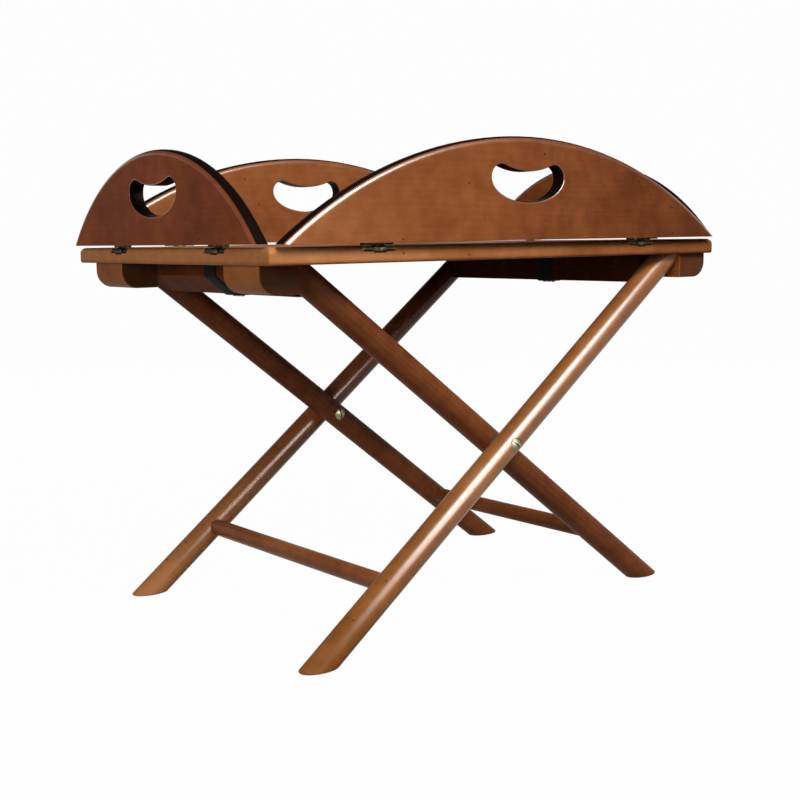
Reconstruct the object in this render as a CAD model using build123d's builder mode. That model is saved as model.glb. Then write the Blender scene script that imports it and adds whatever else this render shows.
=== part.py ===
import os
from math import atan2, cos, degrees, sin, sqrt

from build123d import *

# A butler's tray table: a board with four hinged flaps, on a folding cross-legged stand.
# Sizes are in millimetres. X runs along the tray's long side, the front is -Y, and the
# origin is on the floor under the middle of the tray. The flaps stand upright.

# Tray board
tray_length = 740
tray_width = 484
tray_top = 490
board_thickness = 20
board_corner_round = 3
board_top_round = 7
board_bottom_round = 3

# Flaps, each an arc over a straight lower edge
flap_thickness = 20
long_flap_rise = 126
short_flap_rise = 114
long_flap_end_gap = 3
short_flap_end_gap = 1
flap_tip_height = 2
flap_edge_round = 8
flap_gap = 3

# Handle holes, measured down from the top of the flap's arc
hole_half_width = 60
hole_side_drop = 50
hole_shoulder_round = 15.5
hole_dip_drop = 42.7
hole_bottom_drop = 79.9
hole_edge_round = 2

# Flap hinges: two on each side of the tray, let into the wood
long_hinge_offset = 221
short_hinge_offset = 123
hinge_width = 46
barrel_radius = 4
end_knuckle_radius = 2.4
leaf_thickness = 2
leaf_reach = 22
middle_knuckle = 18
knuckle_gap = 0.3
notch_clearance = 0.5
mortise_clearance = 0.2
hinge_pin_radius = 1.5
running_clearance = 0.05

# Countersunk screws in the hinge leaves
screw_spacing = 28
screw_head_radius = 3
screw_head_height = 1.5
screw_radius = 1.4
screw_length = 13
screw_slot = 0.8

# Stand: round legs that cross at the pivot bolts
leg_radius = 17
leg_gap = 4.3
foot_spread = 301
top_spread = 304.608
outer_leg_y = 213.5
foot_round = 1.5

# Stretchers, low down, let into the legs
stretcher_radius = 11.4
stretcher_height = 82
stretcher_depth = 14
fit_clearance = 0.03

# Top rails tenoned into the legs, with a slanted face flush with the legs' lower sides
rail_reach_in = 42
rail_reach_out = 7
rail_height = 37
rail_drop = 2
rail_edge_round = 1.5
rail_housing = 3
rail_tenon_radius = 8
rail_tenon_depth = 12

# Bearer blocks round the leg tops, dowelled to the legs
block_width = 53
block_height = 33
block_length = 78
block_offset = 5
block_round = 22
block_edge_round = 2
outer_block_shift = -19
inner_block_shift = -6
dowel_radius = 4
dowel_in_leg = 10
dowel_in_block = 14

# Pivot bolts, spacers and cap nuts
bolt_radius = 4
bolt_head_radius = 8.5
bolt_head_height = 5
bolt_head_edge = 1.4
bolt_slot_width = 1.8
bolt_slot_depth = 1.6
front_slot_turn = -43
back_slot_turn = -78
seat_depth = 2.4
seat_clearance = 0.3
nut_radius = 7.5
nut_height = 7
spacer_radius = 11
spacer_clearance = 0.3

# Webbing strap wrapped round both rails, a little off the middle, with tacks under the rails
strap_width = 28
strap_thickness = 1.6
strap_gap = 0.15
strap_y = -12
strap_tail_drop = 5
tack_count = 3
tack_spacing = 9
tack_radius = 0.9
tack_head_radius = 3.2
tack_head_height = 1.6
tack_length = 9

# Values worked out from those above
stand_top = tray_top - board_thickness
pivot_height = stand_top * foot_spread / (foot_spread + top_spread)
inner_leg_y = outer_leg_y - 2 * leg_radius - leg_gap
leg_angle = atan2(foot_spread, pivot_height)
flap_inset = 2 * barrel_radius
rail_top = stand_top - rail_drop
rail_bottom = rail_top - rail_height
rail_outer_x = top_spread + rail_reach_out
rail_inner_x = top_spread - rail_reach_in
block_inner_x = top_spread + block_offset
half_length = tray_length / 2
half_width = tray_width / 2
long_flap_half = half_length - flap_inset - long_flap_end_gap
short_flap_half = half_width - flap_inset - short_flap_end_gap
knuckle_start = middle_knuckle / 2 + knuckle_gap
leaf_start = 2 * barrel_radius + notch_clearance
barrel_pocket = 2 * barrel_radius + notch_clearance
end_pocket = barrel_radius + end_knuckle_radius + notch_clearance

low = (Align.CENTER, Align.CENTER, Align.MIN)
high = (Align.CENTER, Align.CENTER, Align.MAX)


def side_plane(x, y, along):
    """Frame on one top edge of the tray: X along the edge, Y towards the middle, Z up."""
    return Plane(origin=(x, y, tray_top), x_dir=along, z_dir=(0, 0, 1))


sides = {
    "front": (side_plane(0, -half_width, (1, 0, 0)), long_flap_half, long_flap_rise, long_hinge_offset),
    "right": (side_plane(half_length, 0, (0, 1, 0)), short_flap_half, short_flap_rise, short_hinge_offset),
    "back": (side_plane(0, half_width, (-1, 0, 0)), long_flap_half, long_flap_rise, long_hinge_offset),
    "left": (side_plane(-half_length, 0, (0, -1, 0)), short_flap_half, short_flap_rise, short_hinge_offset),
}


def shifted(plane, x, y, z):
    """The same frame, moved along its own directions."""
    return Plane(origin=plane.from_local_coords((x, y, z)), x_dir=plane.x_dir, z_dir=plane.z_dir)


def facing(plane, x, y, z, normal):
    """A plane at a local point, with its X along the edge and the given local normal."""
    out = plane.from_local_coords(normal) - plane.origin
    return Plane(origin=plane.from_local_coords((x, y, z)), x_dir=plane.x_dir, z_dir=out)


def hinge_planes(side):
    plane, half, rise, offset = sides[side]
    return [shifted(plane, -offset, 0, 0), shifted(plane, offset, 0, 0)]


def tray_screw_planes(side):
    middle = leaf_start + leaf_reach / 2
    return [
        facing(hinge, across, middle, 0, (0, 0, 1))
        for hinge in hinge_planes(side)
        for across in (-screw_spacing / 2, screw_spacing / 2)
    ]


def flap_screw_planes(side):
    middle = flap_gap + leaf_reach / 2
    return [
        facing(hinge, across, flap_inset, middle, (0, 1, 0))
        for hinge in hinge_planes(side)
        for across in (-screw_spacing / 2, screw_spacing / 2)
    ]


def write_piece(piece, name):
    piece.part.label = name
    export_step(piece.part, f"parts/{name}.step")


def make_board():
    every_hinge = [hinge for side in sides for hinge in hinge_planes(side)]
    every_screw = [screw for side in sides for screw in tray_screw_planes(side)]
    pocket_width = hinge_width + 2 * mortise_clearance
    mortise_reach = leaf_start + leaf_reach + mortise_clearance
    with BuildPart() as board:
        with Locations((0, 0, tray_top)):
            Box(tray_length, tray_width, board_thickness, align=high)
        fillet(board.edges().filter_by(Axis.Z), board_corner_round)
        fillet(board.edges().group_by(Axis.Z)[-1], board_top_round)
        fillet(board.edges().group_by(Axis.Z)[0], board_bottom_round)
        with Locations(*every_hinge):
            edge_in = (Align.CENTER, Align.MIN, Align.MAX)
            Box(pocket_width, barrel_pocket, end_pocket, align=edge_in, mode=Mode.SUBTRACT)
            Box(2 * knuckle_start, barrel_pocket, barrel_pocket, align=edge_in, mode=Mode.SUBTRACT)
            Box(pocket_width, mortise_reach, leaf_thickness, align=edge_in, mode=Mode.SUBTRACT)
        with Locations(*every_screw):
            pilot = screw_radius + fit_clearance
            Cylinder(pilot, screw_length + fit_clearance, align=high, mode=Mode.SUBTRACT)
    return board


def draw_hole(top):
    """Half an ellipse, a round shoulder at each end, and a dipped arc that touches both shoulders."""
    sides_at = top - hole_side_drop
    dip = hole_side_drop - hole_dip_drop
    shoulder_x = hole_half_width - hole_shoulder_round
    dip_radius = (shoulder_x**2 + dip**2 - hole_shoulder_round**2) / (2 * (hole_shoulder_round - dip))
    share = hole_shoulder_round / (dip_radius + hole_shoulder_round)
    touch_x = shoulder_x * (1 - share)
    touch_y = sides_at + (dip + dip_radius) * share
    bulge = hole_shoulder_round * sqrt(0.5)
    depth = hole_bottom_drop - hole_side_drop
    EllipticalCenterArc((0, sides_at), hole_half_width, depth, start_angle=180, arc_size=180)
    for end in (-1, 1):
        ThreePointArc(
            (end * hole_half_width, sides_at),
            (end * (shoulder_x + bulge), sides_at + bulge),
            (end * touch_x, touch_y),
        )
    ThreePointArc((-touch_x, touch_y), (0, top - hole_dip_drop), (touch_x, touch_y))


def make_flap(side):
    plane, half, rise, offset = sides[side]
    inner_face = facing(plane, 0, flap_inset, 0, (0, -1, 0))
    top = flap_gap + rise
    shoulder = flap_gap + flap_tip_height
    spare = shoulder - 3 * flap_edge_round
    with BuildPart() as flap:
        with BuildSketch(inner_face):
            with BuildLine():
                Line((-half, spare), (half, spare))
                Line((half, spare), (half, shoulder))
                ThreePointArc((half, shoulder), (0, top), (-half, shoulder))
                Line((-half, shoulder), (-half, spare))
            make_face()
            with BuildSketch(mode=Mode.SUBTRACT):
                with BuildLine():
                    draw_hole(top)
                make_face()
        extrude(amount=flap_thickness)
        faces = flap.faces().sort_by(SortBy.AREA)[-2:]
        hole_edges = [edge for face in faces for wire in face.inner_wires() for edge in wire.edges()]
        fillet(hole_edges, hole_edge_round)
        fillet(flap.edges().filter_by(GeomType.CIRCLE).group_by(SortBy.RADIUS)[-1], flap_edge_round)
        split(bisect_by=Plane.XY.offset(tray_top + flap_gap), keep=Keep.TOP)
        with Locations(*[shifted(hinge, 0, flap_inset, flap_gap) for hinge in hinge_planes(side)]):
            Box(
                hinge_width + 2 * mortise_clearance,
                leaf_thickness,
                leaf_reach + mortise_clearance,
                align=(Align.CENTER, Align.MAX, Align.MIN),
                mode=Mode.SUBTRACT,
            )
        with Locations(*flap_screw_planes(side)):
            pilot = screw_radius + fit_clearance
            Cylinder(pilot, screw_length + fit_clearance, align=high, mode=Mode.SUBTRACT)
    return flap


def cut_screw_holes(planes):
    """Clearance holes and countersinks through a leaf, made in the open part."""
    with Locations(*planes):
        head = screw_head_radius + running_clearance
        neck = screw_radius + running_clearance
        Cone(neck, head, screw_head_height + running_clearance, align=high, mode=Mode.SUBTRACT)
        Cylinder(neck, leaf_thickness, align=high, mode=Mode.SUBTRACT)


def make_tray_leaf(side, index):
    hinge = hinge_planes(side)[index]
    axis = facing(hinge, 0, barrel_radius, -barrel_radius, (0, 0, 1))
    end_knuckle = hinge_width / 2 - knuckle_start
    end_middle = knuckle_start + end_knuckle / 2
    inward_down = (Align.CENTER, Align.MIN, Align.MAX)
    with BuildPart() as leaf:
        with Locations(shifted(hinge, 0, leaf_start, 0)):
            Box(hinge_width, leaf_reach, leaf_thickness, align=inward_down)
        for across in (-end_middle, end_middle):
            with Locations(shifted(axis, across, 0, 0)):
                Cylinder(end_knuckle_radius, end_knuckle, rotation=(0, 90, 0))
            with Locations(shifted(hinge, across, barrel_radius, 0)):
                arm = leaf_start - barrel_radius
                Box(end_knuckle, arm, leaf_thickness, align=inward_down)
                Box(end_knuckle, end_knuckle_radius, barrel_radius, align=inward_down)
        with Locations(axis):
            bore = hinge_pin_radius + running_clearance
            Cylinder(bore, hinge_width, rotation=(0, 90, 0), mode=Mode.SUBTRACT)
        cut_screw_holes(tray_screw_planes(side)[2 * index : 2 * index + 2])
    return leaf


def make_flap_leaf(side, index):
    hinge = hinge_planes(side)[index]
    axis = facing(hinge, 0, barrel_radius, -barrel_radius, (0, 0, 1))
    back_low = (Align.CENTER, Align.MAX, Align.MIN)
    with BuildPart() as leaf:
        with Locations(shifted(hinge, 0, flap_inset, notch_clearance)):
            Box(hinge_width, leaf_thickness, leaf_reach + flap_gap - notch_clearance, align=back_low)
        with Locations(axis):
            Cylinder(barrel_radius, middle_knuckle, rotation=(0, 90, 0))
        with Locations(shifted(hinge, 0, flap_inset, -barrel_radius)):
            Box(middle_knuckle, leaf_thickness, barrel_radius + notch_clearance, align=back_low)
        with Locations(axis):
            bore = hinge_pin_radius + running_clearance
            Cylinder(bore, middle_knuckle, rotation=(0, 90, 0), mode=Mode.SUBTRACT)
        cut_screw_holes(flap_screw_planes(side)[2 * index : 2 * index + 2])
    return leaf


def make_hinge_pin(side, index):
    hinge = hinge_planes(side)[index]
    with BuildPart() as pin:
        with Locations(facing(hinge, 0, barrel_radius, -barrel_radius, (0, 0, 1))):
            Cylinder(hinge_pin_radius, hinge_width, rotation=(0, 90, 0))
    return pin


def make_leaf_screws(planes):
    with BuildPart() as screws:
        with Locations(*planes):
            Cylinder(screw_radius, screw_length, align=high)
            Cone(screw_radius, screw_head_radius, screw_head_height, align=high)
            Box(2 * screw_head_radius, screw_slot, screw_slot, align=high, mode=Mode.SUBTRACT)
    return screws


def leg_frame(lean, y):
    """Frame at a leg's pivot: Z up along the leg, whose top leans to +X or -X, and Y as the world's."""
    along = (lean * sin(leg_angle), 0, cos(leg_angle))
    across = (cos(leg_angle), 0, -lean * sin(leg_angle))
    return Plane(origin=(0, y, pivot_height), x_dir=across, z_dir=along)


def underside_x(z, out=0):
    """How far from the middle a leg's lower side is at a height, or a face outside it."""
    return (z - pivot_height) * foot_spread / pivot_height + (leg_radius + out) / cos(leg_angle)


def underside_z(x, out=0):
    """The height at which a leg's lower side is this far from the middle."""
    return pivot_height + (x - (leg_radius + out) / cos(leg_angle)) * pivot_height / foot_spread


def rail_outline(lean, out=0):
    """Corners of a rail's section, or of a path outside it, from its inner side round to its top."""
    bottom = rail_bottom - out
    outer = rail_outer_x + out
    return [
        (lean * (rail_inner_x - out), bottom),
        (lean * underside_x(bottom, out), bottom),
        (lean * outer, underside_z(outer, out)),
        (lean * outer, rail_top + out),
    ]


def tack_points(lean):
    x = lean * (rail_inner_x + underside_x(rail_bottom)) / 2
    return [(x, strap_y + (index - (tack_count - 1) / 2) * tack_spacing) for index in range(tack_count)]


def dowel_plane(lean, y):
    """Start of a block's dowel, inside the leg, pointing out of the leg's lower side."""
    rise = stand_top - pivot_height
    depth = leg_radius - dowel_in_leg
    contact_low = (block_inner_x - leg_radius * cos(leg_angle)) / sin(leg_angle)
    contact_high = (rise + depth * sin(leg_angle)) / cos(leg_angle)
    frame = leg_frame(lean, y)
    start = frame.from_local_coords((lean * depth, 0, (contact_low + contact_high) / 2))
    return Plane(origin=start, x_dir=(0, 1, 0), z_dir=frame.x_dir * lean)


def make_leg(lean, y, seats):
    inward = -1 if y > 0 else 1
    frame = leg_frame(lean, y)
    reach = 2 * (tray_top + foot_spread)
    inner_face = y + inward * leg_radius
    stretcher_x = -lean * (pivot_height - stretcher_height) * foot_spread / pivot_height
    rail_z = (rail_top + rail_bottom) / 2
    rail_x = lean * (rail_z - pivot_height) * foot_spread / pivot_height
    with BuildPart() as leg:
        with Locations(frame):
            Cylinder(leg_radius, reach)
        split(bisect_by=Plane.XY, keep=Keep.TOP)
        split(bisect_by=Plane.XY.offset(stand_top), keep=Keep.BOTTOM)
        fillet(leg.edges().group_by(Axis.Z)[0], foot_round)
        with Locations(Plane(origin=(0, y, pivot_height), x_dir=(1, 0, 0), z_dir=(0, 1, 0))):
            Cylinder(bolt_radius + running_clearance, 4 * leg_radius, mode=Mode.SUBTRACT)
        for direction, radius in seats:
            seat = Plane(
                origin=(0, y + direction * (leg_radius - seat_depth), pivot_height),
                x_dir=(1, 0, 0),
                z_dir=(0, direction, 0),
            )
            with Locations(seat):
                Cylinder(radius + seat_clearance, leg_radius, align=low, mode=Mode.SUBTRACT)
        into_leg = (0, -inward, 0)
        with Locations(Plane(origin=(stretcher_x, inner_face, stretcher_height), z_dir=into_leg)):
            depth = stretcher_depth + fit_clearance
            Cylinder(stretcher_radius + fit_clearance, depth, align=low, mode=Mode.SUBTRACT)
        with Locations(Plane(origin=(rail_x, inner_face, rail_z), z_dir=into_leg)):
            depth = rail_tenon_depth + fit_clearance
            Cylinder(rail_tenon_radius + fit_clearance, depth, align=low, mode=Mode.SUBTRACT)
        with Locations(dowel_plane(lean, y)):
            Cylinder(dowel_radius + fit_clearance, leg_radius, align=low, mode=Mode.SUBTRACT)
    return leg


def make_stretcher(lean, leg_y):
    x = -lean * (pivot_height - stretcher_height) * foot_spread / pivot_height
    length = 2 * (leg_y - leg_radius + stretcher_depth)
    with BuildPart() as stretcher:
        with Locations(Plane(origin=(x, 0, stretcher_height), z_dir=(0, 1, 0))):
            Cylinder(stretcher_radius, length)
    return stretcher


def make_rail(lean, leg_y):
    end = leg_y - leg_radius + rail_housing
    middle_z = (rail_top + rail_bottom) / 2
    middle_x = lean * (middle_z - pivot_height) * foot_spread / pivot_height
    with BuildPart() as rail:
        with BuildSketch(Plane.XZ):
            with BuildLine():
                Polyline(*rail_outline(lean), (lean * rail_inner_x, rail_top), close=True)
            make_face()
        extrude(amount=end, both=True)
        fillet(rail.edges().filter_by(Axis.Y), rail_edge_round)
        with Locations(leg_frame(lean, -leg_y), leg_frame(lean, leg_y)):
            Cylinder(leg_radius + fit_clearance, 4 * tray_top, mode=Mode.SUBTRACT)
        with Locations(Plane(origin=(middle_x, 0, middle_z), z_dir=(0, 1, 0))):
            Cylinder(rail_tenon_radius, 2 * (leg_y - leg_radius + rail_tenon_depth))
        with Locations(*[(x, y, rail_bottom) for x, y in tack_points(lean)]):
            Cylinder(tack_radius + fit_clearance, tack_length, align=low, mode=Mode.SUBTRACT)
    return rail


def make_block(lean, y, shift):
    outward = 1 if y > 0 else -1
    rail_end = y - outward * (leg_radius - rail_housing - fit_clearance)
    with BuildPart() as block:
        with Locations((lean * (block_inner_x + block_width / 2), y + outward * shift, stand_top)):
            Box(block_width, block_length, block_height, align=high)
        outer_edges = block.edges().filter_by(Axis.Y).sort_by(Axis.X)[-2:] if lean > 0 else (
            block.edges().filter_by(Axis.Y).sort_by(Axis.X)[:2]
        )
        fillet(outer_edges.sort_by(Axis.Z)[0], block_round)
        fillet(block.edges().filter_by(Axis.Z), block_edge_round)
        with Locations(leg_frame(lean, y)):
            Cylinder(leg_radius + fit_clearance, 4 * tray_top, mode=Mode.SUBTRACT)
        with Locations((0, rail_end, stand_top)):
            inside = (Align.CENTER, Align.MAX if outward > 0 else Align.MIN, Align.MAX)
            rail_space = 2 * (rail_outer_x + fit_clearance)
            Box(rail_space, 2 * block_length, 2 * block_height, align=inside, mode=Mode.SUBTRACT)
        with Locations(dowel_plane(lean, y)):
            length = dowel_in_leg + dowel_in_block + fit_clearance
            Cylinder(dowel_radius + fit_clearance, length, align=low, mode=Mode.SUBTRACT)
    return block


def make_block_dowels(lean, leg_y):
    with BuildPart() as dowels:
        with Locations(dowel_plane(lean, -leg_y), dowel_plane(lean, leg_y)):
            Cylinder(dowel_radius, dowel_in_leg + dowel_in_block, align=low)
    return dowels


def bolt_plane(y):
    """Where a bolt's head sits: on the leg that is nearer the front, facing the front."""
    front_leg = -outer_leg_y if y < 0 else inner_leg_y
    seat = front_leg - leg_radius + seat_depth
    return Plane(origin=(0, seat, pivot_height), x_dir=(1, 0, 0), z_dir=(0, -1, 0))


def nut_seat(y):
    back_leg = -inner_leg_y if y < 0 else outer_leg_y
    return back_leg + leg_radius - seat_depth + running_clearance


def make_bolt(y, slot_turn):
    seat = bolt_plane(y)
    grip = nut_seat(y) - seat.origin.Y
    with BuildPart() as bolt:
        with BuildSketch(Plane(origin=seat.origin, x_dir=(1, 0, 0), z_dir=(0, 0, 1))) as profile:
            with BuildLine():
                Line((0, 0), (bolt_head_radius, 0))
                Line((bolt_head_radius, 0), (bolt_head_radius, -bolt_head_edge))
                RadiusArc(
                    (bolt_head_radius, -bolt_head_edge),
                    (0, -bolt_head_height),
                    (bolt_head_radius**2 + (bolt_head_height - bolt_head_edge) ** 2)
                    / (2 * (bolt_head_height - bolt_head_edge)),
                )
                Line((0, -bolt_head_height), (0, 0))
            make_face()
        revolve(axis=Axis(seat.origin, (0, 1, 0)))
        with Locations(seat):
            Cylinder(bolt_radius, grip + nut_height / 2, align=high)
        with Locations(shifted(seat, 0, 0, bolt_head_height)):
            Box(
                3 * bolt_head_radius,
                bolt_slot_width,
                bolt_slot_depth,
                rotation=(0, 0, slot_turn),
                align=high,
                mode=Mode.SUBTRACT,
            )
    return bolt


def make_nuts():
    with BuildPart() as nuts:
        for y in (-1, 1):
            seat = Plane(origin=(0, nut_seat(y), pivot_height), x_dir=(1, 0, 0), z_dir=(0, 1, 0))
            with Locations(seat):
                Cylinder(nut_radius, nut_height, align=low)
        fillet(nuts.faces().filter_by(Axis.Y).group_by(Axis.Y)[-1].edges(), nut_height / 3)
        for y in (-1, 1):
            seat = Plane(origin=(0, nut_seat(y), pivot_height), x_dir=(1, 0, 0), z_dir=(0, 1, 0))
            with Locations(seat):
                depth = nut_height / 2 + fit_clearance
                Cylinder(bolt_radius + fit_clearance, depth, align=low, mode=Mode.SUBTRACT)
    return nuts


def make_spacers():
    middle = inner_leg_y + leg_radius + leg_gap / 2
    with BuildPart() as spacers:
        with Locations(
            Plane(origin=(0, -middle, pivot_height), z_dir=(0, 1, 0)),
            Plane(origin=(0, middle, pivot_height), z_dir=(0, 1, 0)),
        ):
            Cylinder(spacer_radius, leg_gap - 2 * spacer_clearance)
            Cylinder(bolt_radius + running_clearance, leg_gap, mode=Mode.SUBTRACT)
    return spacers


def make_strap():
    """A flat band from the inner side of one rail, down and round it, over both tops to the other."""
    clear = strap_gap + strap_thickness / 2
    tail_x = rail_inner_x - clear
    tail_z = rail_top - strap_tail_drop
    left = [(-tail_x, tail_z)] + rail_outline(-1, clear)
    right = [(tail_x, tail_z)] + rail_outline(1, clear)
    with BuildPart() as strap:
        with BuildSketch(Plane(origin=(0, strap_y, 0), x_dir=(1, 0, 0), z_dir=(0, -1, 0))):
            with BuildLine() as path:
                FilletPolyline(*left, *reversed(right), radius=rail_edge_round + clear)
            trace(path.line, line_width=strap_thickness)
        extrude(amount=strap_width / 2, both=True)
        with Locations(*[(x, y, rail_bottom - clear) for lean in (-1, 1) for x, y in tack_points(lean)]):
            Cylinder(tack_radius + fit_clearance, 2 * strap_thickness, mode=Mode.SUBTRACT)
    return strap


def make_tacks(lean):
    head_top = rail_bottom - 2 * strap_gap - strap_thickness
    with BuildPart() as tacks:
        with Locations(*[(x, y, head_top) for x, y in tack_points(lean)]):
            Cylinder(tack_head_radius, tack_head_height, align=high)
            Cylinder(tack_radius, tack_length, align=low)
        fillet(tacks.edges().group_by(Axis.Z)[0], tack_head_height / 2)
    return tacks


os.makedirs("parts", exist_ok=True)

write_piece(make_board(), "tray_board")
for side in sides:
    write_piece(make_flap(side), f"{side}_flap")
    write_piece(make_leaf_screws(flap_screw_planes(side)), f"{side}_flap_leaf_screws")
    for index, place in enumerate(("a", "b")):
        write_piece(make_tray_leaf(side, index), f"{side}_tray_leaf_{place}")
        write_piece(make_flap_leaf(side, index), f"{side}_flap_leaf_{place}")
        write_piece(make_hinge_pin(side, index), f"{side}_hinge_pin_{place}")
tray_screws = [screw for side in sides for screw in tray_screw_planes(side)]
write_piece(make_leaf_screws(tray_screws), "tray_leaf_screws")

stand_frames = {
    "outer": (1, outer_leg_y, outer_block_shift),
    "inner": (-1, inner_leg_y, inner_block_shift),
}
bolt_seats = {
    ("outer", "front"): [(-1, bolt_head_radius)],
    ("inner", "front"): [(1, nut_radius)],
    ("inner", "back"): [(-1, bolt_head_radius)],
    ("outer", "back"): [(1, nut_radius)],
}
for frame, (lean, leg_y, shift) in stand_frames.items():
    for place, y in (("front", -leg_y), ("back", leg_y)):
        write_piece(make_leg(lean, y, bolt_seats[frame, place]), f"{frame}_{place}_leg")
        write_piece(make_block(lean, y, shift), f"{frame}_{place}_bearer_block")
    write_piece(make_stretcher(lean, leg_y), f"{frame}_stretcher")
    write_piece(make_rail(lean, leg_y), f"{frame}_top_rail")
    write_piece(make_block_dowels(lean, leg_y), f"{frame}_block_dowels")
    write_piece(make_tacks(lean), f"{frame}_strap_tacks")
write_piece(make_bolt(-1, front_slot_turn), "front_pivot_bolt")
write_piece(make_bolt(1, back_slot_turn), "back_pivot_bolt")
write_piece(make_nuts(), "pivot_nuts")
write_piece(make_spacers(), "pivot_spacers")
write_piece(make_strap(), "webbing_strap")

print("legs lean", round(degrees(leg_angle), 2), "degrees from upright")
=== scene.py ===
import math

import bpy
from mathutils import Matrix, Vector


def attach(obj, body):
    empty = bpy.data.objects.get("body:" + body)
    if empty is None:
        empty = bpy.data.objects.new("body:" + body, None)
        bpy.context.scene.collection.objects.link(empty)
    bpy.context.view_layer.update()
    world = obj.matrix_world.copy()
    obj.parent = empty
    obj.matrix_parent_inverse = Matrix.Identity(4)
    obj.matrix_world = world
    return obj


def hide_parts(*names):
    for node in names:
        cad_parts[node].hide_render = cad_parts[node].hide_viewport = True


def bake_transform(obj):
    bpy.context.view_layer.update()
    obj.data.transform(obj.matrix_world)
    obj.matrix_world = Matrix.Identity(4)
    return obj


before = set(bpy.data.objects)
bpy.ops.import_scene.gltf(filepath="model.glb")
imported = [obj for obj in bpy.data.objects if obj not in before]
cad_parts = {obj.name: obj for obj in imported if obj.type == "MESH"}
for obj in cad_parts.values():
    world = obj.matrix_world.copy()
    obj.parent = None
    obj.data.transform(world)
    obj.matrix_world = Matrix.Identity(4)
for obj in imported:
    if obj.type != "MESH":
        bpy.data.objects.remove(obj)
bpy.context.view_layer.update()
scene = bpy.context.scene


def pickSocket(sockets, key):
    if isinstance(key, int):
        return sockets[key]
    for socket in sockets:
        if socket.identifier == key:
            return socket
    return sockets[key]


class Val:
    # one output socket; used in an expression, it adds Math nodes
    def __init__(self, graph, node, out=0):
        self.graph = graph
        self.node = node
        self.socket = pickSocket(node.outputs, out) if node.outputs else None

    def out(self, key):
        return Val(self.graph, self.node, key)

    def math(self, operation, *values):
        return self.graph.add("ShaderNodeMath", {"operation": operation}, dict(enumerate(values)))

    def __add__(self, other):
        return self.math("ADD", self, other)

    def __sub__(self, other):
        return self.math("SUBTRACT", self, other)

    def __rsub__(self, other):
        return self.math("SUBTRACT", other, self)

    def __mul__(self, other):
        return self.math("MULTIPLY", self, other)

    def __truediv__(self, other):
        return self.math("DIVIDE", self, other)

    def __rtruediv__(self, other):
        return self.math("DIVIDE", other, self)

    def __pow__(self, other):
        return self.math("POWER", self, other)

    __radd__ = __add__
    __rmul__ = __mul__

    def sine(self):
        return self.math("SINE", self)

    def between(self, low, high):
        # 0 below low, 1 above high, smooth in between
        values = {"Value": self, "From Min": low, "From Max": high}
        return self.graph.add("ShaderNodeMapRange", {"interpolation_type": "SMOOTHSTEP"}, values)


class Graph:
    def __init__(self, tree):
        self.tree = tree

    def add(self, kind, settings=None, sockets=None, out=0):
        node = self.tree.nodes.new(kind)
        for key, value in (settings or {}).items():
            if key == "stops":
                self.setStops(node.color_ramp.elements, value)
            else:
                setattr(node, key, value)
        for key, value in (sockets or {}).items():
            socket = pickSocket(node.inputs, key)
            if isinstance(value, Val):
                self.tree.links.new(value.socket, socket)
            elif socket.type == "RGBA":
                socket.default_value = (*value[:3], 1)
            else:
                socket.default_value = value
        return Val(self, node, out)

    def setStops(self, elements, stops):
        while len(elements) > 1:
            elements.remove(elements[-1])
        elements[0].position, elements[0].color = stops[0][0], (*stops[0][1], 1)
        for place, colour in stops[1:]:
            elements.new(place).color = (*colour, 1)

    def blend(self, factor, first, second):
        values = {"Factor_Float": factor, "A_Color": first, "B_Color": second}
        return self.add("ShaderNodeMix", {"data_type": "RGBA"}, values, "Result_Color")

    def noise(self, vector, scale, detail, rough):
        values = {"Vector": vector, "Scale": scale, "Detail": detail, "Roughness": rough}
        return self.add("ShaderNodeTexNoise", {}, values)

    def vector(self, x, y, z):
        return self.add("ShaderNodeCombineXYZ", {}, {0: x, 1: y, 2: z})


def newFinish(name):
    material = bpy.data.materials.new(name)
    material.use_nodes = True
    material.node_tree.nodes.clear()
    return material, Graph(material.node_tree)


def surface(graph, sockets):
    shader = graph.add("ShaderNodeBsdfPrincipled", {}, sockets)
    graph.add("ShaderNodeOutputMaterial", {}, {"Surface": shader})


# stained and lacquered wood, its grain along the turned X
woodLook = {
    "stops": [
        (0.02, (0.036, 0.0090, 0.0032)),
        (0.28, (0.105, 0.0280, 0.0085)),
        (0.52, (0.200, 0.0630, 0.0185)),
        (0.75, (0.300, 0.1100, 0.0360)),
        (0.98, (0.430, 0.1850, 0.0700)),
    ],
    "ringWidth": 0.0065,
    "ringWander": 0.034,
    "fibre": 0.06,
    "streak": 0.03,
    "cloud": 0.44,
    "mottle": 0.34,
    "pore": 0.16,
    "poreEdge": (0.60, 0.74),
    "specular": 0.015,
    "bump": 0.022,
    "bumpHeight": 0.0008,
}
# noise that follows the grain: scale along it, scale across it, detail, roughness
grainNoises = {
    "wander": (1.6, 7, 3, 0.5),
    "fibre": (9, 290, 4, 0.62),
    "streak": (2.2, 34, 3, 0.5),
    "pore": (46, 1100, 1, 0.5),
}
# noise that is the same all ways: scale, detail, roughness
blotchNoises = {"cloud": (8.5, 3, 0.55), "mottle": (42, 4, 0.6)}
# small dark specks, each in a cell chosen by chance
specks = {
    "colour": (0.016, 0.006, 0.003),
    "scale": 30,
    "smallest": 0.015,
    "spread": 0.04,
    "edge": 0.55,
    "chosen": (0.62, 0.64),
    "share": 0.86,
}
# what the patterns add to the height and to the roughness
relief = {"fibre": 0.5, "pore": 0.5, "speck": 1.4}
dullness = {"cloud": 0.14, "pore": 0.1, "speck": 0.2}
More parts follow.
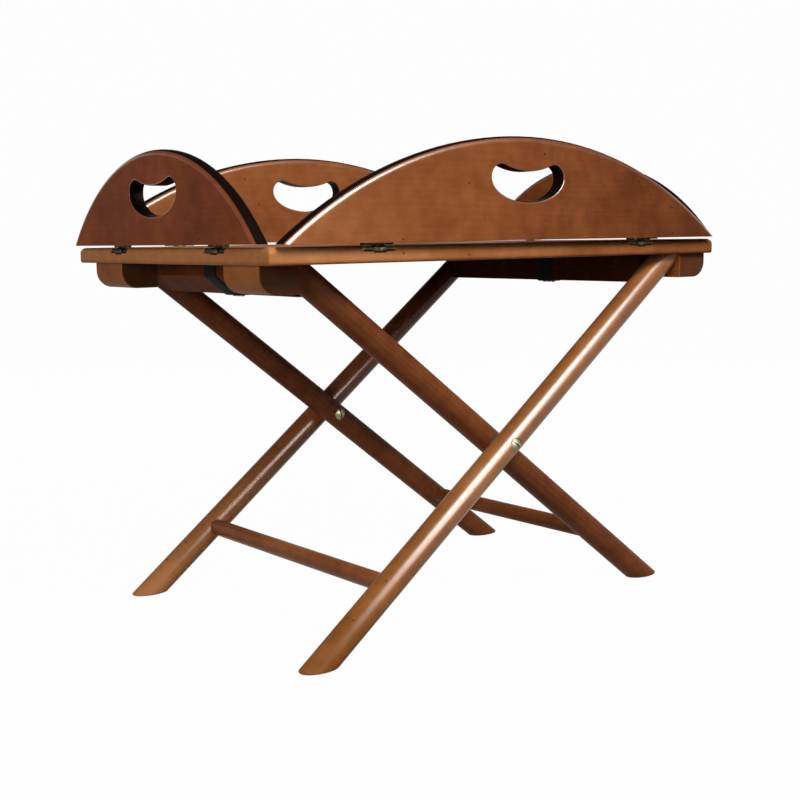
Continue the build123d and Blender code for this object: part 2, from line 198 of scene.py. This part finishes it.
# the near outer leg has a lighter, more golden stain, and the left flap is redder
goldenLook = dict(woodLook)
goldenLook["stops"] = [
    (0.02, (0.038, 0.0105, 0.0034)),
    (0.30, (0.122, 0.0385, 0.0098)),
    (0.55, (0.235, 0.0880, 0.0225)),
    (0.98, (0.415, 0.1950, 0.0640)),
]
reddishLook = dict(woodLook)
reddishLook["stops"] = [
    (0.02, (0.036, 0.0072, 0.0029)),
    (0.28, (0.105, 0.0225, 0.0076)),
    (0.52, (0.200, 0.0500, 0.0160)),
    (0.98, (0.430, 0.1500, 0.0600)),
]
pieceLooks = {"outer_front_leg": goldenLook, "left_flap": reddishLook}
# coat on the boards, the rails, the two outer legs, the inner frame and the outer stretcher
boardGloss = {"roughness": 0.46, "coat": 0.04, "coatRoughness": 0.28}
railGloss = {"roughness": 0.60, "coat": 0.0, "coatRoughness": 0.30}
outerGloss = {"roughness": 0.44, "coat": 0.66, "coatRoughness": 0.29}
shadeGloss = {"roughness": 0.44, "coat": 0.40, "coatRoughness": 0.26}
innerGloss = {"roughness": 0.44, "coat": 0.08, "coatRoughness": 0.34}
wetGloss = {"roughness": 0.44, "coat": 0.20, "coatRoughness": 0.18}
# rims and handle holes of the flaps are coloured nearly black, and their roundings are polished
cutEdge = {
    "colour": (0.0060, 0.0030, 0.0020),
    "full": 0.58,
    "start": 0.80,
    "coat": 0.95,
    "coatFull": 0.95,
    "coatFrom": 0.998,
}
# the lacquer of the outer legs is worn off towards the feet, and thinner at the top
wornFoot = {"from": -0.30, "to": -0.08}
thinTop = {"from": 0.12, "to": 0.30, "share": 0.45}
# painted shade: the tray board darkens towards its lower, rounded edge, which turns away from the
# light
paintedEdgeShade = {"low": 0.470, "high": 0.4755, "depth": 0.22}
# painted shadow: the front and back faces of the blocks, in the shade of the tray's overhang, are
# darkened
paintedBlockShadow = {"colour": (0.024, 0.0085, 0.0040), "inner": 0.86, "outer": 0.72, "facing": (0.6, 0.9)}
legTurn = math.radians(37.81)
alongX = (0, 0, 0)
alongY = (0, 0, -math.pi / 2)
outerLeg = (0, legTurn, 0)
innerLeg = (0, -legTurn, 0)
# turn of the grain, the tree's heart, strength of the rings, stain depth (partly painted shade: the
# rails and inner legs are darkened for the shade they stand in), painted falloff of light along X
# (the front flap and board lighter at the left, the back legs darker towards their tops in the
# tray's shade), gloss
woodPieces = {
    "tray_board": (alongX, (0.31, 0.08, -0.92), 0.02, 0.19, -0.60, boardGloss),
    "front_flap": (alongX, (1.13, -0.05, -0.93), 0.02, -0.06, -0.56, boardGloss),
    "back_flap": (alongX, (2.41, 0.17, -0.86), 0.02, 0.09, 0.0, boardGloss),
    "left_flap": (alongY, (3.07, -0.21, -0.91), 0.02, 0.02, 0.0, boardGloss),
    "right_flap": (alongY, (4.22, 0.12, -0.95), 0.02, 0.0, 0.0, boardGloss),
    "outer_front_leg": (outerLeg, (5.10, 0.27, -0.28), 0.04, 0.03, 0.0, outerGloss),
    "outer_back_leg": (outerLeg, (6.35, -0.13, -0.25), 0.04, 0.04, -1.60, shadeGloss),
    "inner_front_leg": (innerLeg, (7.20, 0.22, -0.05), 0.04, -0.15, 0.0, innerGloss),
    "inner_back_leg": (innerLeg, (8.41, -0.12, -0.31), 0.04, -0.15, 0.40, innerGloss),
    "outer_stretcher": (alongY, (9.30, 0.25, -0.13), 0.04, 0.05, 0.0, wetGloss),
    "inner_stretcher": (alongY, (10.7, -0.26, -0.02), 0.04, -0.10, 0.0, innerGloss),
    "outer_top_rail": (alongY, (11.2, 0.24, -0.40), 0.04, -0.47, 0.0, railGloss),
    "inner_top_rail": (alongY, (12.6, -0.24, -0.39), 0.04, -0.26, 0.0, railGloss),
    "outer_front_bearer_block": (alongX, (13.1, 0.24, -0.41), 0.05, 0.06, 0.0, boardGloss),
    "outer_back_bearer_block": (alongX, (14.5, -0.16, -0.40), 0.05, 0.0, 0.0, boardGloss),
    "inner_front_bearer_block": (alongX, (15.2, 0.13, -0.405), 0.05, 0.12, 0.0, boardGloss),
    "inner_back_bearer_block": (alongX, (16.8, -0.20, -0.41), 0.05, 0.12, 0.0, boardGloss),
    "outer_block_dowels": (alongX, (17.4, 0.10, -0.42), 0.05, 0.0, 0.0, boardGloss),
    "inner_block_dowels": (alongX, (18.1, 0.10, -0.42), 0.05, 0.0, 0.0, boardGloss),
}
flapFaces = {"front_flap": "Y", "back_flap": "Y", "left_flap": "X", "right_flap": "X"}
lacqueredLegs = ("outer_front_leg", "outer_back_leg")


def woodPatterns(graph, turned, look):
    along = graph.add("ShaderNodeSeparateXYZ", {}, {"Vector": turned})
    across, up = along.out("Y"), along.out("Z")
    patterns = {}
    for key, (length, width, detail, rough) in grainNoises.items():
        stretched = graph.vector(along * length, across * width, up * width)
        patterns[key] = graph.noise(stretched, 1, detail, rough)
    for key, settings in blotchNoises.items():
        patterns[key] = graph.noise(turned, *settings)
    radius = (across * across + up * up) ** 0.5 + patterns["wander"] * look["ringWander"]
    patterns["ring"] = (radius * (math.tau / look["ringWidth"])).sine() * 0.5 + 0.5
    patterns["pore"] = patterns["pore"].between(*look["poreEdge"])
    cells = graph.add(
        "ShaderNodeTexVoronoi",
        {"voronoi_dimensions": "2D"},
        {"Vector": graph.vector(along, across + up, 0), "Scale": specks["scale"]},
        "Distance",
    )
    chance = graph.add("ShaderNodeSeparateColor", {}, {"Color": cells.out("Color")})
    size = specks["smallest"] + chance.out("Green") * specks["spread"]
    inside = 1 - (cells / size).between(specks["edge"], 1)
    patterns["speck"] = inside * chance.between(*specks["chosen"])
    return patterns


def facingAxis(graph, place, axis):
    # 1 where the surface faces along the axis, either way
    normal = graph.add("ShaderNodeSeparateXYZ", {}, {"Vector": place.out("Normal")}, axis)
    return normal.math("ABSOLUTE", normal)


def woodFinish(node, look):
    turn, heart, ringDepth, depth, paintedFalloff, gloss = woodPieces[node]
    material, graph = newFinish(node + "_finish")
    place = graph.add("ShaderNodeTexCoord", {}, {}, "Object")
    spot = graph.add("ShaderNodeSeparateXYZ", {}, {"Vector": place})
    mapped = {"Vector": place, "Rotation": turn, "Location": heart}
    wood = woodPatterns(graph, graph.add("ShaderNodeMapping", {}, mapped), look)
    # the fade along X paints a falloff of light and shade, and the stain depth is partly painted
    # shade
    tone = 0.5 + depth + spot * paintedFalloff + (wood["ring"] - 0.5) * ringDepth
    for key in ("fibre", "streak", "cloud", "mottle"):
        tone = tone + (wood[key] - 0.5) * look[key]
    # painted shade along the lower edge of the tray board
    if node == "tray_board":
        tone = tone - (1 - spot.out("Z").between(paintedEdgeShade["low"], paintedEdgeShade["high"])) * paintedEdgeShade["depth"]
    stain = graph.add("ShaderNodeValToRGB", {"stops": look["stops"]}, {"Fac": tone}, "Color")
    pored = graph.blend(wood["pore"] * look["pore"], stain, look["stops"][0][1])
    colour = graph.blend(wood["speck"] * specks["share"], pored, specks["colour"])
    coat = gloss["coat"]
    if node in lacqueredLegs:
        coat = spot.between(wornFoot["from"], wornFoot["to"]) * coat
        coat = coat * (1 - spot.between(thinTop["from"], thinTop["to"]) * thinTop["share"])
    if node in flapFaces:
        facing = facingAxis(graph, place, flapFaces[node])
        cut = 1 - facing.between(cutEdge["full"], cutEdge["start"])
        colour = graph.blend(cut, colour, cutEdge["colour"])
        rounded = (1 - facing.between(cutEdge["coatFull"], cutEdge["coatFrom"])) * (1 - cut)
        coat = coat + rounded * (cutEdge["coat"] - coat) - cut * coat
    # painted shadow on the front and back faces of the blocks
    if node.endswith("bearer_block"):
        ends = facingAxis(graph, place, "Y").between(*paintedBlockShadow["facing"])
        frameName = node.split("_")[0]
        colour = graph.blend(ends * paintedBlockShadow[frameName], colour, paintedBlockShadow["colour"])
    height = wood["fibre"] * relief["fibre"] - wood["pore"] * relief["pore"]
    height = height - wood["speck"] * relief["speck"]
    raised = {"Strength": look["bump"], "Distance": look["bumpHeight"], "Height": height}
    dull = gloss["roughness"] + (wood["cloud"] - 0.5) * dullness["cloud"]
    surface(graph, {
        "Base Color": colour,
        "Roughness": dull + wood["pore"] * dullness["pore"] + wood["speck"] * dullness["speck"],
        "Specular IOR Level": look["specular"],
        "Coat Weight": coat,
        "Coat Roughness": gloss["coatRoughness"],
        "Normal": graph.add("ShaderNodeBump", {}, raised),
    })
    return material


# dark hinge brass and the paler brass of the bolts
brassLooks = {
    "hingeBrass": {
        "patina": (0.020, 0.015, 0.008),
        "metal": (0.30, 0.205, 0.085),
        "worn": (0.50, 0.74),
    },
    "boltBrass": {
        "patina": (0.085, 0.074, 0.042),
        "metal": (0.27, 0.24, 0.145),
        "worn": (0.30, 0.66),
    },
}
# noise in the brass: scale, detail, roughness
brassNoises = {"blotch": (170, 4, 0.6), "grit": (1500, 2, 0.5)}
brassSurface = {
    "blotchShare": 0.75,
    "bump": 0.15,
    "bumpHeight": 0.0002,
    "metallic": 0.75,
    "roughness": 0.56,
    "wornPolish": 0.22,
    "gritDullness": 0.15,
}
# turn of each bolt's slot from level, and the reach of the painted shade in it
boltSlots = {"front_pivot_bolt": -43, "back_pivot_bolt": -78}
slotShade = {"colour": (0.004, 0.003, 0.002), "inside": 0.00080, "outside": 0.00098, "share": 0.92}


def slotMask(graph, place, node):
    corners = [corner[2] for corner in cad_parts[node].bound_box]
    middle = (min(corners) + max(corners)) / 2
    turn = math.radians(boltSlots[node])
    spot = graph.add("ShaderNodeSeparateXYZ", {}, {"Vector": place})
    off = spot * -math.sin(turn) + (spot.out("Z") - middle) * math.cos(turn)
    return 1 - off.math("ABSOLUTE", off).between(slotShade["inside"], slotShade["outside"])


def brassFinish(name, look):
    material, graph = newFinish(name)
    base = brassSurface
    place = graph.add("ShaderNodeTexCoord", {}, {}, "Object")
    blotch = graph.noise(place, *brassNoises["blotch"])
    grit = graph.noise(place, *brassNoises["grit"])
    worn = (blotch * base["blotchShare"] + grit * (1 - base["blotchShare"])).between(*look["worn"])
    colour = graph.blend(worn, look["patina"], look["metal"])
    # painted shade in the recess of the bolt's slot
    if name in boltSlots:
        inSlot = slotMask(graph, place, name)
        colour = graph.blend(inSlot * slotShade["share"], colour, slotShade["colour"])
    raised = {"Strength": base["bump"], "Distance": base["bumpHeight"], "Height": grit + blotch}
    polished = base["roughness"] - worn * base["wornPolish"]
    surface(graph, {
        "Base Color": colour,
        "Metallic": base["metallic"] + worn * (1 - base["metallic"]),
        "Roughness": polished + (grit - 0.5) * base["gritDullness"],
        "Normal": graph.add("ShaderNodeBump", {}, raised),
    })
    return material


# black cotton webbing; along and across are metres on the strap
webbingLook = {
    "yarn": (0.0035, 0.0035, 0.004),
    "bright": (0.020, 0.019, 0.0195),
    "ends": 0.0014,
    "fuzzScale": 900,
    "fuzzDetail": 3,
    "fuzzRough": 0.6,
    "twillLift": 0.3,
    "twillShare": 0.6,
    "roughness": 0.72,
    "fuzzDullness": 0.2,
    "specular": 0.06,
    "bump": 0.5,
    "bumpHeight": 0.0003,
}


def webbingFinish(name, look):
    material, graph = newFinish(name)
    along = graph.add("ShaderNodeAttribute", {"attribute_name": "along"}, {}, "Fac")
    across = graph.add("ShaderNodeAttribute", {"attribute_name": "across"}, {}, "Fac")
    yarns = math.tau / look["ends"]
    twill = ((along + across) * yarns).sine() * 0.5 + ((along - across) * yarns).sine() * 0.5
    fuzzPlace = graph.vector(along * look["fuzzScale"], across * look["fuzzScale"], 0)
    fuzz = graph.noise(fuzzPlace, 1, look["fuzzDetail"], look["fuzzRough"])
    share = look["twillShare"]
    lift = (twill * look["twillLift"] + 0.5) * share + fuzz * (1 - share)
    raised = {"Strength": look["bump"], "Distance": look["bumpHeight"], "Height": lift}
    surface(graph, {
        "Base Color": graph.blend(lift, look["yarn"], look["bright"]),
        "Roughness": look["roughness"] + fuzz * look["fuzzDullness"],
        "Specular IOR Level": look["specular"],
        "Normal": graph.add("ShaderNodeBump", {}, raised),
    })
    return material


for node in woodPieces:
    finish = woodFinish(node, pieceLooks.get(node, woodLook))
    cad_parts[node].material_slots[0].material = finish
hingeBrass = brassFinish("hingeBrass", brassLooks["hingeBrass"])
boltBrass = brassFinish("boltBrass", brassLooks["boltBrass"])
webbing = webbingFinish("blackWebbing", webbingLook)
for node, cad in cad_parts.items():
    if "leaf" in node or "hinge" in node:
        cad.material_slots[0].material = hingeBrass
    elif "pivot" in node or "tacks" in node:
        bolt = brassFinish(node, brassLooks["boltBrass"]) if node in boltSlots else boltBrass
        cad.material_slots[0].material = bolt
print("finishes:", len(bpy.data.materials))


class Tree(Graph):
    # a Geometry Nodes tree with named inputs, ending in Realize Instances and Set Material
    def __init__(self, name, inputs):
        super().__init__(bpy.data.node_groups.new(name, "GeometryNodeTree"))
        face = self.tree.interface
        face.new_socket("Geometry", in_out="INPUT", socket_type="NodeSocketGeometry")
        face.new_socket("Geometry", in_out="OUTPUT", socket_type="NodeSocketGeometry")
        for label, kind in inputs.items():
            face.new_socket(label, in_out="INPUT", socket_type="NodeSocket" + kind)
        face.new_socket("Finish", in_out="INPUT", socket_type="NodeSocketMaterial")
        self.given = self.add("NodeGroupInput")

    def end(self, geometry):
        real = self.add("GeometryNodeRealizeInstances", {}, {"Geometry": geometry})
        painted = self.add(
            "GeometryNodeSetMaterial", {}, {"Geometry": real, "Material": self.given.out("Finish")}
        )
        self.add("NodeGroupOutput", {}, {0: painted})


sharpAngle = math.radians(40)


def plainPiece(name, source, tree, values):
    modifier = source.modifiers.new("make", "NODES")
    modifier.node_group = tree.tree
    for item in tree.tree.interface.items_tree:
        if item.name in values and item.in_out == "INPUT":
            modifier[item.identifier] = values[item.name]
    ready = source.evaluated_get(bpy.context.evaluated_depsgraph_get())
    piece = bpy.data.objects.new(name, bpy.data.meshes.new_from_object(ready))
    scene.collection.objects.link(piece)
    bpy.data.objects.remove(source)
    piece.data.set_sharp_from_angle(angle=sharpAngle)
    return piece


def newObject(name, data):
    thing = bpy.data.objects.new(name, data)
    scene.collection.objects.link(thing)
    return thing


# the strap's line round one rail: distance from the middle and height, in metres
strap = {
    "width": 0.028,
    "thickness": 0.0013,
    "y": -0.012,
    "corners": [
        (0.26166, 0.46300),
        (0.26166, 0.43005),
        (0.28241, 0.43005),
        (0.31256, 0.45345),
        (0.31256, 0.46895),
    ],
    "bend": 0.00245,
    "bendSteps": 6,
    "edgeShare": 0.45,
    "edgeSteps": 3,
    "step": 0.0005,
    "ribPitch": 0.0021,
    "ribHeight": 0.00014,
}


def webbingTree():
    tree = Tree("webbingStrap", {
        "Width": "Float", "Thickness": "Float", "Bend": "Float",
        "Step": "Float", "Rib Pitch": "Float", "Rib Height": "Float",
    })
    given = tree.given
    turned = tree.add(
        "GeometryNodeFilletCurve",
        {"mode": "POLY"},
        {"Curve": given, "Radius": given.out("Bend"), "Count": strap["bendSteps"]},
    )
    even = tree.add(
        "GeometryNodeResampleCurve",
        {"mode": "LENGTH"},
        {"Curve": turned, "Length": given.out("Step")},
    )
    level = tree.add(
        "GeometryNodeSetCurveNormal", {"mode": "FREE"}, {"Curve": even, "Normal": (0, 1, 0)}
    )
    length = tree.add("GeometryNodeSplineParameter", {}, {}, "Length")
    marked = tree.add(
        "GeometryNodeStoreNamedAttribute", {}, {"Geometry": level, "Name": "along", "Value": length}
    )
    outline = tree.add(
        "GeometryNodeCurvePrimitiveQuadrilateral",
        {},
        {"Width": given.out("Width"), "Height": given.out("Thickness")},
    )
    rounded = tree.add(
        "GeometryNodeFilletCurve",
        {"mode": "POLY"},
        {
            "Curve": outline,
            "Radius": given.out("Thickness") * strap["edgeShare"],
            "Count": strap["edgeSteps"],
        },
    )
    place = tree.add("GeometryNodeInputPosition")
    side = tree.add("ShaderNodeSeparateXYZ", {}, {"Vector": place})
    section = tree.add(
        "GeometryNodeStoreNamedAttribute",
        {},
        {"Geometry": rounded, "Name": "across", "Value": side},
    )
    band = tree.add(
        "GeometryNodeCurveToMesh",
        {},
        {"Curve": marked, "Profile Curve": section, "Fill Caps": True},
    )
    along = tree.add("GeometryNodeInputNamedAttribute", {"data_type": "FLOAT"}, {"Name": "along"})
    lift = (along * math.tau / given.out("Rib Pitch")).sine() * given.out("Rib Height")
    normal = tree.add("GeometryNodeInputNormal")
    push = tree.add(
        "ShaderNodeVectorMath", {"operation": "SCALE"}, {"Vector": normal, "Scale": lift}
    )
    ribbed = tree.add("GeometryNodeSetPosition", {}, {"Geometry": band, "Offset": push})
    tree.end(ribbed)
    return tree


strapLine = bpy.data.curves.new("strapLine", "CURVE")
strapLine.dimensions = "3D"
spline = strapLine.splines.new("POLY")
route = [(-x, z) for x, z in strap["corners"]] + list(reversed(strap["corners"]))
spline.points.add(len(route) - 1)
for point, (x, z) in zip(spline.points, route):
    point.co = (x, strap["y"], z, 1)
strapPiece = plainPiece("ribbed_webbing_strap", newObject("strapLine", strapLine), webbingTree(), {
    "Width": strap["width"],
    "Thickness": strap["thickness"],
    "Bend": strap["bend"],
    "Step": strap["step"],
    "Rib Pitch": strap["ribPitch"],
    "Rib Height": strap["ribHeight"],
    "Finish": webbing,
})
print("strap:", len(strapPiece.data.polygons), "faces")


# slotted countersunk screws in the hinge leaves
hingeScrews = {
    "profile": [(0, 0.00016), (0.0016, 0.00012), (0.0027, 0.00002), (0.00297, -0.0001),
                (0.0014, -0.0015), (0.0014, -0.0045), (0, -0.0045)],
    "slot": (0.0008, 0.0008),
    "steps": 28,
    "longOffset": 0.221,
    "shortOffset": 0.123,
    "spacing": 0.028,
    "leafInset": 0.0195,
    "flapInset": 0.008,
    "flapRise": 0.014,
    "trayTop": 0.490,
    "halfLength": 0.370,
    "halfWidth": 0.242,
    "seed": 7,
}
# domed tacks that hold the strap under the rails
strapTacks = {
    "profile": [(0, 0.0016), (0.0012, 0.00148), (0.0023, 0.0011), (0.003, 0.0005), (0.0032, 0),
                (0.0009, 0), (0.0009, -0.007), (0, -0.007)],
    "x": 0.27234,
    "z": 0.4291,
    "steps": 20,
    "y": (-0.021, -0.012, -0.003),
    "seed": 3,
}


def turnedMesh(name, profile, steps):
    verts, faces = [], []
    for radius, height in profile:
        for step in range(steps if radius else 1):
            angle = math.tau * step / steps
            verts.append((radius * math.cos(angle), radius * math.sin(angle), height))
    starts = [0]
    for radius, height in profile:
        starts.append(starts[-1] + (steps if radius else 1))
    for i in range(len(profile) - 1):
        top, low = starts[i], starts[i + 1]
        for step in range(steps):
            after = (step + 1) % steps
            if not profile[i][0]:
                faces.append((top, low + step, low + after))
            elif not profile[i + 1][0]:
                faces.append((top + after, top + step, low))
            else:
                faces.append((top + step, low + step, low + after, top + after))
    mesh = bpy.data.meshes.new(name)
    mesh.from_pydata(verts, [], faces)
    mesh.polygons.foreach_set("use_smooth", [True] * len(faces))
    return mesh


def slottedHead(profile, slot, steps):
    head = newObject("screwHead", turnedMesh("screwHead", profile, steps))
    width, depth = slot
    reach = 2 * max(radius for radius, height in profile)
    top = profile[0][1]
    cutter = bpy.data.meshes.new("slotCutter")
    corners = [
        (x, y, z)
        for x in (-reach, reach)
        for y in (-width / 2, width / 2)
        for z in (top - depth, top + depth)
    ]
    cutter.from_pydata(corners, [], [
        (0, 1, 3, 2), (4, 6, 7, 5), (0, 4, 5, 1), (2, 3, 7, 6), (0, 2, 6, 4), (1, 5, 7, 3),
    ])
    tool = newObject("slotCutter", cutter)
    cut = head.modifiers.new("slot", "BOOLEAN")
    cut.operation, cut.object = "DIFFERENCE", tool
    ready = head.evaluated_get(bpy.context.evaluated_depsgraph_get())
    mesh = bpy.data.meshes.new_from_object(ready)
    bpy.data.objects.remove(tool)
    head.modifiers.clear()
    head.data = mesh
    return head


def scatterTree():
    # one shape at each point, facing the point's own direction, with a random turn
    tree = Tree("placeFixings", {"Shape": "Object", "Seed": "Int"})
    given = tree.given
    facing = tree.add(
        "GeometryNodeInputNamedAttribute",
        {"data_type": "FLOAT_VECTOR"},
        {"Name": "facing"},
        "Attribute",
    )
    upright = tree.add("FunctionNodeAlignRotationToVector", {"axis": "Z"}, {"Vector": facing})
    spin = tree.add(
        "FunctionNodeRandomValue",
        {"data_type": "FLOAT"},
        {"Min_001": 0.0, "Max_001": math.tau, "Seed": given.out("Seed")},
        "Value_001",
    )
    twist = tree.add("FunctionNodeAxisAngleToRotation", {}, {"Axis": (0, 0, 1), "Angle": spin})
    settled = tree.add(
        "FunctionNodeRotateRotation",
        {"rotation_space": "LOCAL"},
        {"Rotation": upright, "Rotate By": twist},
    )
    shape = tree.add("GeometryNodeObjectInfo", {}, {"Object": given.out("Shape")}, "Geometry")
    placed = tree.add(
        "GeometryNodeInstanceOnPoints",
        {},
        {"Points": given, "Instance": shape, "Rotation": settled},
    )
    tree.end(placed)
    return tree


def pointsFacing(name, places, facing):
    mesh = bpy.data.meshes.new(name)
    mesh.from_pydata(places, [], [])
    attribute = mesh.attributes.new("facing", "FLOAT_VECTOR", "POINT")
    attribute.data.foreach_set("vector", [value for direction in facing for value in direction])
    return newObject(name, mesh)


def hingeSides(look):
    # the middle of the board's edge, the ways along it and inward, and the hinges' offset
    right, back = Vector((1, 0, 0)), Vector((0, 1, 0))
    length, width = look["halfLength"], look["halfWidth"]
    return {
        "front": (back * -width, right, back, look["longOffset"]),
        "right": (right * length, back, -right, look["shortOffset"]),
        "back": (back * width, -right, -back, look["longOffset"]),
        "left": (right * -length, -back, right, look["shortOffset"]),
    }


fixings = scatterTree()
screwHead = slottedHead(hingeScrews["profile"], hingeScrews["slot"], hingeScrews["steps"])
trayPlaces = []
up = Vector((0, 0, 1))
for side, (edge, along, inward, offset) in hingeSides(hingeScrews).items():
    flapPlaces = []
    for hinge in (-offset, offset):
        for half in (-hingeScrews["spacing"] / 2, hingeScrews["spacing"] / 2):
            spot = edge + along * (hinge + half) + up * hingeScrews["trayTop"]
            trayPlaces.append(spot + inward * hingeScrews["leafInset"])
            flapSpot = spot + inward * hingeScrews["flapInset"]
            flapPlaces.append(flapSpot + up * hingeScrews["flapRise"])
    source = pointsFacing(side + "Places", flapPlaces, [inward] * len(flapPlaces))
    seed = hingeScrews["seed"] + len(trayPlaces)
    values = {"Shape": screwHead, "Seed": seed, "Finish": hingeBrass}
    piece = plainPiece(side + "_flap_slotted_screws", source, fixings, values)
    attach(piece, side + "_flap")
    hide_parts(side + "_flap_leaf_screws")
source = pointsFacing("trayPlaces", trayPlaces, [up] * len(trayPlaces))
values = {"Shape": screwHead, "Seed": hingeScrews["seed"], "Finish": hingeBrass}
trayScrews = plainPiece("tray_slotted_screws", source, fixings, values)
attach(trayScrews, "tray")
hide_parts("tray_leaf_screws")

tackHead = newObject("tackHead", turnedMesh("tackHead", strapTacks["profile"], strapTacks["steps"]))
for stand, sign in (("outer", 1), ("inner", -1)):
    places = [(sign * strapTacks["x"], y, strapTacks["z"]) for y in strapTacks["y"]]
    source = pointsFacing(stand + "Places", places, [(0, 0, -1)] * len(places))
    values = {"Shape": tackHead, "Seed": strapTacks["seed"], "Finish": boltBrass}
    piece = plainPiece(stand + "_domed_tacks", source, fixings, values)
    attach(piece, stand + "_frame")
    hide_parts(stand + "_strap_tacks")
for shape in (screwHead, tackHead):
    bpy.data.objects.remove(shape)
print("fixings:", len(trayPlaces) * 2, "screws,", len(strapTacks["y"]) * 2, "tacks")

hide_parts("webbing_strap")
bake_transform(strapPiece)


# floor and wall in one sweep, pale and without a seam
studio = {
    "floor": 7.0,
    "cove": 1.0,
    "wall": 3.6,
    "steps": 96,
    "coveSteps": 10,
    "colour": 0.24,
    "glow": 0.985,
}


def studioSweep(look):
    profile = [(0, 0), (look["floor"] * 0.5, 0), (look["floor"], 0)]
    for step in range(1, look["coveSteps"] + 1):
        angle = math.pi / 2 * step / look["coveSteps"]
        out = look["floor"] + look["cove"] * math.sin(angle)
        profile.append((out, look["cove"] * (1 - math.cos(angle))))
    profile.append((look["floor"] + look["cove"], look["wall"]))
    return newObject("studio", turnedMesh("studio", profile, look["steps"]))


def studioFinish(look):
    material, graph = newFinish("paleStudio")
    ray = graph.add("ShaderNodeLightPath", {}, {}, "Is Camera Ray")
    mirrored = ray.math("MAXIMUM", ray, ray.out("Is Glossy Ray"))
    seen = ray.math("MAXIMUM", mirrored, ray.out("Is Transmission Ray"))
    matt = graph.add("ShaderNodeBsdfDiffuse", {}, {"Color": (look["colour"],) * 3})
    white = graph.add("ShaderNodeEmission", {}, {"Color": (1, 1, 1), "Strength": 1})
    mixed = graph.add("ShaderNodeMixShader", {}, {0: seen * look["glow"], 1: matt, 2: white})
    graph.add("ShaderNodeOutputMaterial", {}, {"Surface": mixed})
    return material


backdrop = studioSweep(studio)
backdrop.data.materials.append(studioFinish(studio))

# a soft lamp high in front, a tall card seen only in the lacquer, and fills at the left and back
lamps = {
    "frontHigh": {
        "place": (0.05, -1.98, 2.10),
        "aim": (0.0, -0.2, 0.30),
        "size": (1.1, 0.7),
        "watts": 74,
        "colour": (1, 0.965, 0.91),
    },
    "tallCard": {
        "place": (0.0, -2.35, 1.75),
        "aim": (0.0, -0.2, 0.25),
        "size": (1.8, 2.0),
        "watts": 310,
        "colour": (1, 0.985, 0.95),
        "glossyOnly": True,
    },
    "leftSoft": {
        "place": (-2.8, -1.3, 1.0),
        "aim": (0, 0, 0.45),
        "size": (1.6, 1.0),
        "watts": 46,
        "colour": (1, 0.95, 0.88),
    },
    "backSky": {
        "place": (1.8, 2.2, 1.5),
        "aim": (0, 0, 0.40),
        "size": (2.0, 1.0),
        "watts": 46,
        "colour": (0.90, 0.95, 1),
        "mattOnly": True,
    },
}
sky = {"colour": (0.86, 0.92, 1), "strength": 0.08}


def addLamp(name, look):
    data = bpy.data.lights.new(name, "AREA")
    data.shape = "RECTANGLE"
    data.size, data.size_y = look["size"]
    data.energy = look["watts"]
    data.color = look["colour"]
    lamp = newObject(name, data)
    lamp.location = look["place"]
    aim = Vector(look["aim"]) - Vector(look["place"])
    lamp.rotation_euler = aim.to_track_quat("-Z", "Y").to_euler()
    lamp.visible_camera = False
    lamp.visible_diffuse = not look.get("glossyOnly")
    lamp.visible_glossy = not look.get("mattOnly")


for name, look in lamps.items():
    addLamp(name, look)
world = bpy.data.worlds.new("studioAir")
scene.world = world
world.use_nodes = True
world.node_tree.nodes.clear()
air = Graph(world.node_tree)
dim = air.add("ShaderNodeBackground", {}, {"Color": sky["colour"], "Strength": sky["strength"]})
air.add("ShaderNodeOutputWorld", {}, {"Surface": dim})
print("lamps:", len(lamps))

# the photograph's view, from a fit to the table's edges
view = {
    "lens": 57.26,
    "sensor": 36,
    "place": (-1.0993, -1.4053, 0.5001),
    "yaw": 37.823,
    "pitch": -7.346,
    "roll": 0.832,
}
yaw, pitch, roll = (math.radians(view[key]) for key in ("yaw", "pitch", "roll"))
ahead = Vector((math.sin(yaw) * math.cos(pitch), math.cos(yaw) * math.cos(pitch), math.sin(pitch)))
right = Vector((math.cos(yaw), -math.sin(yaw), 0))
down = ahead.cross(right)
tiltedRight = right * math.cos(roll) + down * math.sin(roll)
tiltedDown = down * math.cos(roll) - right * math.sin(roll)
cameraData = bpy.data.cameras.new("photoView")
cameraData.lens = view["lens"]
cameraData.sensor_width = view["sensor"]
camera = newObject("photoView", cameraData)
turn = Matrix((tiltedRight, -tiltedDown, -ahead)).transposed()
camera.matrix_world = Matrix.Translation(view["place"]) @ turn.to_4x4()
scene.camera = camera
scene.view_settings.view_transform = "Standard"
print("camera at", view["place"])
